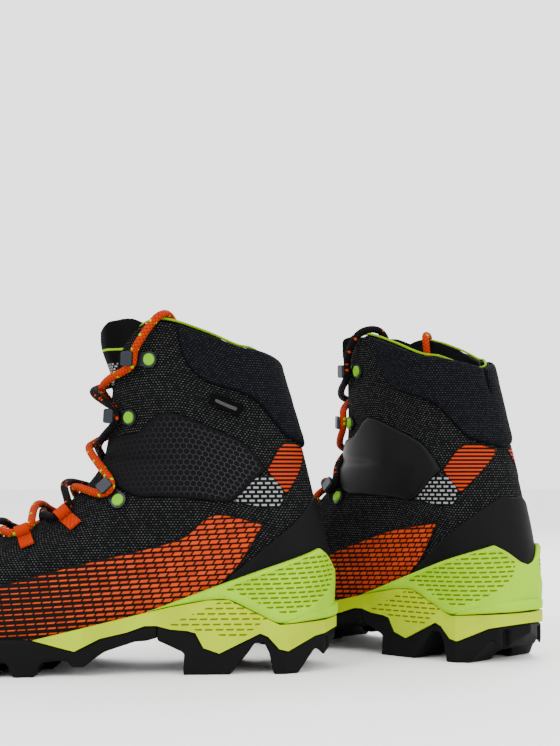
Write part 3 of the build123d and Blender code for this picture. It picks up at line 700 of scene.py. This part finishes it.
def woven(name, colour, pitch=1.1, mark=None):
    """Flat webbing: short ribs both ways, with a plain mark in its middle if asked."""
    paint = dull(name, colour, 0.75)
    x, y, z = (part * 1000.0 for part in paint.split(paint.object_place()))
    weave = paint.wave(x + y, pitch) * paint.wave(z, pitch)
    tone = paint.mix(paint.ramp(weave, -1, 1), scaled(colour, 0.6), colour)
    if mark:
        tone = paint.mix(paint.ramp(paint.place()[2], 2.7, 2.9), tone, mark)
    return paint.finish(tone, weave, 0.0002)


def braid(name, main, fleck, share):
    """Round lace: a diamond braid of one colour with sparse flecks of another."""
    paint = dull(name, main, 0.8, 0.05)
    length, turn = paint.place()[:2]
    a = length / 2.4 + turn * 4.0
    b = length / 2.4 - turn * 4.0
    strand = [paint.sum("FLOORED_MODULO", paint.sum("FLOOR", side), 64.0) for side in (a, b)]
    over = abs(paint.wave(a, 2) * paint.wave(b, 2))
    chance = paint.random(paint.join(*strand, 5))
    tone = paint.mix(paint.sum("GREATER_THAN", chance, 1 - share), main, fleck)
    return paint.finish(paint.mix(paint.ramp(over, 0.0, 0.3), scaled(main, 0.4), tone), over, 0.0003)


def metal(name, colour, roughness):
    """Dark metal with uneven polish."""
    paint = Paint(name, colour, roughness, Metallic=0.85)
    paint.bump(paint.noise(1500, 2), 0.00002)
    rough = paint.ramp(paint.noise(60, 2), 0.3, 0.7, roughness * 0.8, roughness * 1.25)
    paint.feed(paint.shader.inputs["Roughness"], rough)
    return paint.material


def make_materials():
    lime, orange = (0.21, 0.40, 0.0), (0.38, 0.024, 0.0)
    return {
        "knit": knit("knit_black", (0.0020, 0.0020, 0.0022), (0.085, 0.088, 0.09), (1.9, 1.45), 0.55),
        "tongue": tongue_cloth("tongue_knit"),
        "collar": knit("collar_fabric", (0.0020, 0.0022, 0.0030), (0.05, 0.052, 0.06), (1.7, 1.4), 0.45, 1.0),
        "lining": knit("lining_mesh", (0.003, 0.003, 0.004), (0.012, 0.012, 0.014), (1.4, 1.4), 0.5, 0.0),
        "film": film("film_orange"),
        "stripes": stripes("stripe_print", (0.32, 0.020, 0.0), 2.4, 0.45),
        "ticks": stripes("tick_print", (0.17, 0.175, 0.18), 2.5, 0.42, 4.6),
        "honeycomb": honeycomb("pad_honeycomb"),
        "smooth_pad": moulded("pad_smooth", CHARCOAL, 0.45, shine=0.08),
        "rubber": moulded("rubber_black", (0.0030, 0.0030, 0.0033), 0.65, 700, 0.0001, 0.05),
        "foam": slotted("foam_lime", (0.28, 0.37, 0.0), 6.0, 3.0, (0.36, 0.14), 0.0, FOAM_PANEL),
        "tpu": slotted("tpu_lime", lime, 5.5, 2.7, (0.38, 0.17), 0.02),
        "piping": woven("piping_lime", lime, 0.8),
        "webbing": woven("webbing_orange", orange),
        "tab": woven("tab_grey", CHARCOAL, 0.7, (0.05, 0.05, 0.048)),
        "footbed": woven("footbed_felt", (0.02, 0.02, 0.022), 0.9),
        "board": woven("board_grey", (0.10, 0.10, 0.10), 1.2),
        "plastic": moulded("shank_plastic", (0.02, 0.02, 0.02), 0.5),
        "hook": metal("hook_metal", (0.018, 0.020, 0.026), 0.42),
        "rivet": moulded("rivet_lime", (0.10, 0.28, 0.001), 0.45, shine=0.1),
        "lace_orange": braid("lace_orange", (0.29, 0.019, 0.0), (0.20, 0.32, 0.0), 0.07),
        "lace_black": braid("lace_black", (0.0025, 0.0025, 0.0028), (0.30, 0.022, 0.0), 0.07),
        "aglet": moulded("aglet_plastic", (0.01, 0.01, 0.01), 0.25),
    }


# ---- knit upper, lining and tongue ---------------------------------------------------------------
def throat_half(z):
    """Half the width of the opening that the tongue fills."""
    return (12 + 8 * step(z, 150, 182)) * quarter((z - THROAT_END[0]) / (THROAT_END[1] - THROAT_END[0]))


def way_to_front(z, side, gap):
    """How far round it is to the point gap away from the middle line of the front."""
    nose, last = around(z)[2], around(z)[5]
    front = along(FRONT_LINE, z)
    x = front
    for _ in range(4):
        sine = np.clip(gap / half_width(x, z, side), 0, 0.98)
        x = front - nose * (1 - np.sqrt(1 - sine ** 2))
    return last - nose * np.arcsin(sine)


def upper_grid(rows, columns, top_shift=0.0, closed=False):
    """Ways round and heights of an even grid over the upper, up to the collar line."""
    q = np.linspace(-1, 1, columns)
    side = np.sign(q + 1e-9)
    top = np.full(columns, 188.0)
    for _ in range(12):
        end = way_to_front(top, side, np.zeros(columns) if closed else throat_half(top))
        x = surface(q * end, top)[:, 0]
        top = top * 0.4 + 0.6 * (along(COLLAR_LINE, x) + top_shift)
    low = np.full(columns, 30.0)
    bottom = along(INSOLE_LINE, surface(q * around(low)[5], low)[:, 0]) + 1
    t = np.linspace(0, 1, rows)[:, None]
    z = bottom + (top - bottom) * t
    end = way_to_front(z, np.broadcast_to(side, z.shape), 0 * z if closed else throat_half(z))
    return q * end, z


def sheet_with_edge(s, z, outer, thick, edge=None):
    """Closed layer over a grid: its outside, and its inside thick below it."""
    rows, columns = s.shape
    lift = np.broadcast_to(outer, s.shape).ravel()
    top = skin(s.ravel(), z.ravel(), lift)
    low = skin(s.ravel(), z.ravel(), lift - thick)
    cloth = cloth_place(top, s.ravel())
    if edge is not None:
        cloth[:, 2] = edge.ravel()
    faces = grid_faces(rows, columns) + grid_faces(rows, columns, rows * columns, flip=True)
    n = rows * columns
    rim = ([(0, j) for j in range(columns)] + [(i, columns - 1) for i in range(1, rows)]
           + [(rows - 1, j) for j in range(columns - 2, -1, -1)] + [(i, 0) for i in range(rows - 2, 0, -1)])
    rim = [i * columns + j for i, j in rim]
    faces += [(b, a, a + n, b + n) for a, b in zip(rim, rim[1:] + rim[:1])]
    return np.concatenate([top, low]), faces, np.concatenate([cloth, cloth])


def make_upper(boot, paints):
    """The knit upper, the lining inside it and the piping along its top."""
    s, z = upper_grid(150, 260)
    rows, columns = s.shape
    j = np.minimum(np.arange(columns), columns - 1 - np.arange(columns))
    i = (rows - 1 - np.arange(rows))[:, None]
    sides, top = quarter(np.minimum(j, 3) / 3.0), quarter(np.minimum(i, 2) / 2.0)
    lift = -EDGE_DROP * (1 - sides) * (z > THROAT_END[0]) - EDGE_DROP * (1 - top)
    reach = np.minimum(np.abs(s[:, -1:] - s), np.abs(s - s[:, :1])) + PLAIN * (z < THROAT_END[0])
    reach = reach * (1 - 0.6 * step(z, 120, 180))
    piece = add_piece(boot, "knit_upper", sheet_with_edge(s, z, lift, KNIT_T, reach), paints["knit"])
    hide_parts(f"{boot}_upper_vamp", f"{boot}_upper_cuff", f"{boot}_flex_gusset")
    across_ankle(piece, boot)

    s, z = upper_grid(90, 160, 1.6, closed=True)
    piece = add_piece(boot, "soft_lining", sheet_with_edge(s, z, -LINING_DEPTH, LINING_T), paints["lining"])
    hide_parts(f"{boot}_lining")
    across_ankle(piece, boot)

    keep = (np.abs(s[-1]) > 2) & (surface(s[-1], z[-1])[:, 0] < 118)
    for side, name in ((1, "piping_outer"), (-1, "piping_inner")):
        here = keep & (s[-1] * side > 0)
        line, t = even(skin(s[-1][here], z[-1][here] + 0.3, -3.4), 1.0)
        radius = 0.75 * quarter((t[-1] - t + 1) / 12) * quarter((t + 1) / 12)
        piece = add_piece(boot, name, tube(line, radius, t, 10), paints["piping"])
        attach(piece, f"{boot}_cuff")


def make_tongue(boot, paints):
    """The tongue, which widens inside the collar and rises above it in a rounded flap."""
    rows, columns = 120, 61
    p = np.linspace(-1, 1, columns)[None, :]
    far = np.abs(p)
    top = TONGUE_TOP + 4.6 * step(far, 0.1, 0.6) - 6.0 * step(far, 0.7, 1.0)
    t = np.linspace(0, 1, rows)[:, None]
    z = TONGUE_BOTTOM + (top - TONGUE_BOTTOM) * t
    half = 22 + 14 * step(z, 172, 192)
    gap = far * half
    end = way_to_front(z, np.sign(p + 1e-9) + 0 * z, gap)
    s = np.where(p < 0, -end, end)
    puff = quarter((1 - far) / 0.25) * quarter((top - z + 1.5) / 4.0)
    free = 1 - step(gap, throat_half(z) - 5, throat_half(z) - 0.5)
    outer = -4.8 + 1.7 * puff + 6.4 * step(z, 168, 194) * puff * free
    outer = outer + 0.5 * np.sin(z / 5.5) * (z < 165) * puff
    thick = TONGUE_T * quarter((top - z + 1.0) / 3.0)
    points, faces, cloth = sheet_with_edge(s, z, outer, thick.ravel())
    cloth[:, 0], cloth[:, 1] = np.tile((gap * np.sign(p)).ravel(), 2), np.tile(z.ravel(), 2)
    piece = add_piece(boot, "padded_tongue", (points, faces, cloth), paints["tongue"])
    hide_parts(f"{boot}_tongue_vamp", f"{boot}_tongue_cuff")
    across_ankle(piece, boot)


# ---- pieces laid on the upper --------------------------------------------------------------------
def make_clip(boot, paints):
    """The heel clip with its two slotted panels, and the rim that holds a crampon."""
    panels = [smooth_outline(on_side(CLIP_PANEL, side)) for side in (1, -1)]

    def in_panel(s, z):
        """How deep a place lies inside a panel."""
        points = np.stack([s, z], -1)
        return sum(np.where(inside(points, panel), border_distance(points, panel), 0) for panel in panels)

    def relief(s, z, distance):
        band = np.exp(-(in_panel(s, z) / 1.2) ** 2) * (distance > 2.0)
        slim = 2.2 * (1 - step(np.abs(s), 4, 30)) * quarter(distance / 1.3)
        return 0.5 * band - 0.7 * step(in_panel(s, z), 0.6, 1.8) - slim

    shape = patch(both_sides(CLIP_TOP, CLIP_BOTTOM), CLIP_LIFT, 3.2, 1.3, 0.9, relief, in_panel, True)
    body = add_piece(boot, "heel_cradle", shape, paints["tpu"])
    points, faces, cloth = patch(both_sides(LEDGE_TOP, LEDGE_BOTTOM), CLIP_LIFT, 3.8, 1.4, 0.9)
    cloth[:, 2] = 0
    rim = add_piece(boot, "crampon_ledge", (points, faces, cloth), paints["tpu"])
    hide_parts(f"{boot}_heel_clip")
    for piece in (body, rim):
        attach(piece, f"{boot}_boot")


def make_overlays(boot, paints):
    """Everything thin that lies on the knit."""
    def lay(name, outline, base, thick, edge, paint, slot, node, body, spacing=2.0, relief=None):
        shape = patch(outline, base, thick, edge, spacing, relief, level=slot == "film_orange")
        piece = add_piece(boot, name, shape, paints[paint])
        if node:
            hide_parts(f"{boot}_{node}")
        if body:
            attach(piece, f"{boot}_{body}")
        return piece

    def crease(s, z, distance):
        x = surface(s, z)[:, 0]
        valley = np.abs(z - 121.5 - 0.02 * (x - 120)) / (1.2 + 0.06 * np.clip(x - 92, 0, 60))
        return -1.3 * np.exp(-valley ** 2) * step(x, 88, 106)

    for end, outline, side, node in (("outer", LATERAL_OVERLAY, 1, "overlay_lateral"),
                                     ("inner", MEDIAL_OVERLAY, -1, "overlay_medial")):
        outline = on_side(outline, side)
        lay(f"printed_film_{end}", outline, 0.15, 0.6, 0.5, "film", "film_orange", node, "boot")
    for side, name, paint, node in ((1, "honeycomb_pad", "honeycomb", "ankle_pad_lateral"),
                                    (-1, "smooth_pad", "smooth_pad", "ankle_pad_medial")):
        thick = 1.3 if side > 0 else 1.9
        outline = on_side(ANKLE_PAD, side)
        pad = lay(name, outline, 0.2, thick, 2.2, paint, "pad_rubber", node, None, 1.6, crease)
        across_ankle(pad, boot)
    lay("rubber_counter", both_sides(HEEL_COUNTER_TOP, COUNTER_BOTTOM), 0.2, 1.2, 0.8, "rubber",
        "rubber_black", "heel_counter", "boot")
    for side, end in ((1, "outer"), (-1, "inner")):
        for name, outline, thick, paint in (("stripe_print", STRIPE_PRINT, 0.35, "stripes"),
                                            ("tick_print", TICK_PRINT, 0.3, "ticks")):
            outline = on_side(outline, side)
            piece = lay(f"{name}_{end}", outline, 0.1, thick, 0.4, paint, "film_orange", None, None)
            across_ankle(piece, boot)
    lay("label_tab_cloth", on_side(LABEL_TAB, 1), 3.1, 0.7, 0.4, "tab", "tab_grey", "label_tab", "cuff", 1.0)


def swell(piece, fixed, most=1.8):
    """The padding of a piece, blown up by a cloth simulation while its fixed points stay on the boot."""
    before = np.array([v.co for v in piece.data.vertices])
    group = piece.vertex_groups.new(name="held")
    group.add([int(i) for i in np.nonzero(fixed)[0]], 1.0, "REPLACE")
    modifier = piece.modifiers.new("padding", "CLOTH")
    settings = modifier.settings
    for setting, value in (("quality", 5), ("mass", 0.02), ("tension_stiffness", 0.8),
                           ("compression_stiffness", 0.8), ("shear_stiffness", 0.4),
                           ("bending_stiffness", 0.02), ("use_pressure", True),
                           ("uniform_pressure_force", 4)):
        setattr(settings, setting, value)
    settings.effector_weights.gravity = 0
    settings.vertex_group_mass = "held"
    modifier.point_cache.frame_start = 1
    modifier.point_cache.frame_end = 20
    for number in range(1, 21):
        bpy.context.scene.frame_set(number)
    shaped = piece.evaluated_get(bpy.context.evaluated_depsgraph_get()).to_mesh()
    after = np.array([v.co for v in shaped.vertices])
    piece.evaluated_get(bpy.context.evaluated_depsgraph_get()).to_mesh_clear()
    piece.modifiers.remove(modifier)
    bpy.context.scene.frame_set(1)
    move = after - before
    length = np.maximum(np.linalg.norm(move, axis=1, keepdims=True), 1e-9)
    move = move / length * np.minimum(length, most * MM)
    piece.data.vertices.foreach_set("co", (before + move).ravel())
    piece.data.update()
    piece.modifiers.new("smooth", "SUBSURF").levels = 1
    keep_modifiers(piece)


def keep_modifiers(piece):
    """The piece's mesh with its modifiers worked in."""
    bpy.context.view_layer.update()
    mesh = bpy.data.meshes.new_from_object(piece.evaluated_get(bpy.context.evaluated_depsgraph_get()))
    piece.modifiers.clear()
    piece.data = mesh


def make_collar(boot, paints):
    """The padded collar, held along its border and where it lies on the knit."""
    top = [(0, 168)] + [(x, z + 0.4) for x, z in COLLAR_LINE if 5 < x < 95]
    points, faces, cloth = patch(both_sides(top, COLLAR_PAD), 0.1, 2.6, 4.0, 2.6)
    piece = add_piece(boot, "padded_collar", (points, faces, cloth), paints["collar"])
    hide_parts(f"{boot}_collar_pad")
    underside = int((cloth[:, 2] > 1e-3).sum() / 2)
    fixed = np.arange(len(points)) >= len(points) - underside
    fixed |= cloth[:, 2] < 0.9
    swell(piece, fixed)
    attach(piece, f"{boot}_cuff")


def soften(boot, node, name, paint, voxel=None):
    """A CAD node's own shape, its edges worn round by remeshing if asked, in place of the node."""
    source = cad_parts[f"{boot}_{node}"]
    mesh = source.data.copy()
    mesh.transform(source.matrix_world)
    mesh.materials.clear()
    mesh.materials.append(paint)
    piece = link(f"{boot}_{name}", mesh)
    if voxel:
        remesh = piece.modifiers.new("even", "REMESH")
        remesh.mode = "VOXEL"
        remesh.voxel_size = voxel * MM
        smooth = piece.modifiers.new("worn", "SMOOTH")
        smooth.factor = 0.5
        smooth.iterations = 5
        keep_modifiers(piece)
    own = from_row(np.array([v.co for v in piece.data.vertices]), boot)
    keep_cloth(piece.data, np.stack([own[:, 0], own[:, 2], np.full(len(own), PLAIN)], -1))
    piece.data.set_sharp_from_angle(angle=math.radians(32))
    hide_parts(f"{boot}_{node}")
    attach(piece, f"{boot}_boot")


def make_sole(boot, paints):
    soften(boot, "outsole_forefoot", "forefoot_lugs", paints["rubber"], 1.1)
    soften(boot, "outsole_heel", "heel_lugs", paints["rubber"], 1.0)
    soften(boot, "midsole", "foam_wedge", paints["foam"])


# ---- laces ---------------------------------------------------------------------------------------
def front_point(z, turn, rise=0.0):
    """Point on the front half of the skin, turned round from the middle line and moved out."""
    def on_skin(level, angle):
        nose = along(NOSE_LENGTH, level)
        s = around(np.array([level], float))[5][0] - nose * math.radians(abs(angle))
        return surface(s if angle >= 0 else -s, level)

    up = on_skin(z + 0.4, turn) - on_skin(z - 0.4, turn)
    across = on_skin(z, turn + 0.6) - on_skin(z, turn - 0.6)
    outward = np.cross(across, up)
    return on_skin(z, turn) + outward / np.linalg.norm(outward) * rise


def across_hook(hook, side):
    """The two points of a lace that turns round a hook's neck, upper one first."""
    (head_z, head_turn), (rivet_z, rivet_turn) = hook
    head, rivet = front_point(head_z, side * head_turn), front_point(rivet_z, side * rivet_turn)
    middle = ((head_z + rivet_z) / 2, side * (head_turn + rivet_turn) / 2)
    outward = front_point(*middle, 1.0) - front_point(*middle)
    ahead = (head - rivet) - outward * np.dot(head - rivet, outward)
    ahead /= np.linalg.norm(ahead)
    sideways = np.cross(outward, ahead)
    ends = [head - 2.6 * ahead + y * sideways + LACE_RISE * outward for y in (-LACE_TURN, LACE_TURN)]
    return sorted(ends, key=lambda p: -p[2])


def across_loop(loop, side):
    """The two points of a lace that passes through a loop, rear one first."""
    base = front_point(loop[0], side * loop[1])
    outward = front_point(loop[0], side * loop[1], 1.0) - base
    down = front_point(loop[0] - 1.0, side * (loop[1] + 4)) - base
    down -= outward * np.dot(down, outward)
    down /= np.linalg.norm(down)
    lengthways = np.cross(down, outward)
    ends = [base + LOOP_RISE * outward + t * lengthways for t in (-LACE_TURN - 1, LACE_TURN + 1)]
    return sorted(ends, key=lambda p: p[0])


def lace_route(side, over_first):
    route = [np.array([x, side * y, z], float) for x, y, z in TAIL_STOPS[::-1]]
    route += across_hook(HOOKS[0], side)
    for k in range(5):
        stops = (OVER_STOPS if over_first == (k % 2 == 0) else UNDER_STOPS)[k]
        route += [front_point(z, side * turn, rise) for z, turn, rise in stops]
        side = -side
        route += across_hook(HOOKS[k + 1], side) if k < 2 else across_loop(LOOPS[k - 2], side)
    return route + [front_point(z, side * turn, rise) for z, turn, rise in BOTTOM_STOPS]


def spline_points(route):
    """Points along the smooth line of a route, in the row frame."""
    curve = bpy.data.curves.new("route", "CURVE")
    curve.dimensions = "3D"
    spline = curve.splines.new("NURBS")
    spline.points.add(len(route) - 1)
    for point, place in zip(spline.points, route):
        point.co = (*place, 1)
    spline.order_u = 3
    spline.use_endpoint_u = True
    spline.resolution_u = 16
    holder = bpy.data.objects.new("route", curve)
    mesh = bpy.data.meshes.new_from_object(holder)
    points = np.array([v.co for v in mesh.vertices])
    bpy.data.objects.remove(holder)
    bpy.data.curves.remove(curve)
    bpy.data.meshes.remove(mesh)
    return points


def even(points, spacing):
    """The same line with points at an even spacing."""
    length = np.concatenate([[0], np.cumsum(np.linalg.norm(np.diff(points, axis=0), axis=1))])
    count = max(2, int(round(length[-1] / spacing)) + 1)
    t = np.linspace(0, length[-1], count)
    return np.stack([np.interp(t, length, points[:, k]) for k in range(3)], -1), t


def tube(line, radius, t, around_it=16, strands=0.0):
    """Tube along a line, its surface raised a little on each strand of a braid."""
    ahead = np.gradient(line, axis=0)
    ahead /= np.linalg.norm(ahead, axis=1, keepdims=True)
    across = np.zeros_like(line)
    across[0] = np.cross(ahead[0], (0, 0, 1))
    across[0] /= np.linalg.norm(across[0])
    for k in range(1, len(line)):
        v = across[k - 1] - ahead[k] * np.dot(across[k - 1], ahead[k])
        across[k] = v / np.linalg.norm(v)
    other = np.cross(ahead, across)
    turn = np.linspace(0, 2 * math.pi, around_it, endpoint=False)
    a = t[:, None] / 2.4 + 4 * turn[None, :] / (2 * math.pi)
    b = t[:, None] / 2.4 - 4 * turn[None, :] / (2 * math.pi)
    radius = radius[:, None] * (1 - strands + strands * np.abs(np.sin(math.pi * a) * np.sin(math.pi * b)))
    rings = (line[:, None, :] + across[:, None, :] * (radius * np.cos(turn))[..., None]
             + other[:, None, :] * (radius * np.sin(turn))[..., None])
    n = len(line)
    faces = [(i + j, i + (j + 1) % around_it, i + around_it + (j + 1) % around_it, i + around_it + j)
             for i in range(0, (n - 1) * around_it, around_it) for j in range(around_it)]
    points = np.concatenate([rings.reshape(-1, 3), line[:1], line[-1:]])
    faces += [(len(points) - 2, (j + 1) % around_it, j) for j in range(around_it)]
    last_ring = (n - 1) * around_it
    faces += [(len(points) - 1, last_ring + j, last_ring + (j + 1) % around_it) for j in range(around_it)]
    cloth = np.zeros((len(points), 3))
    cloth[:-2, 0] = np.repeat(t, around_it)
    cloth[:-2, 1] = np.tile(turn / (2 * math.pi), n)
    return points, faces, cloth


def make_laces(boot, paints):
    for name, side, over_first in (("lace_orange", 1, False), ("lace_black", -1, True)):
        line, t = even(spline_points(lace_route(side, over_first)), 0.9)
        shape = tube(line, np.full(len(line), LACE_D / 2), t, 16, 0.05)
        piece = add_piece(boot, f"{name}_braid", shape, paints[name])
        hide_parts(f"{boot}_{name}")
        path = to_row(line, boot)
        across_ankle(piece, boot)


def paint_nodes(paints):
    """Materials of the CAD nodes that stay as they are."""
    kept = {"toe_rand": "rubber",
            "shank": "plastic", "insole_board": "board", "footbed": "footbed", "lace_loops": "webbing",
            "cuff_hooks": "hook", "instep_hooks": "hook", "cuff_rivets": "rivet", "instep_rivets": "rivet",
            "aglets": "aglet"}
    for boot in PLACES:
        for node, paint in kept.items():
            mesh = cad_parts[f"{boot}_{node}"].data
            mesh.materials.clear()
            mesh.materials.append(paints[paint])


make_stage()
PAINTS = make_materials()
for boot_name in PLACES:
    make_laces(boot_name, PAINTS)
    make_upper(boot_name, PAINTS)
    make_tongue(boot_name, PAINTS)
    make_clip(boot_name, PAINTS)
    make_overlays(boot_name, PAINTS)
    make_collar(boot_name, PAINTS)
    make_sole(boot_name, PAINTS)
paint_nodes(PAINTS)
bpy.context.view_layer.update()
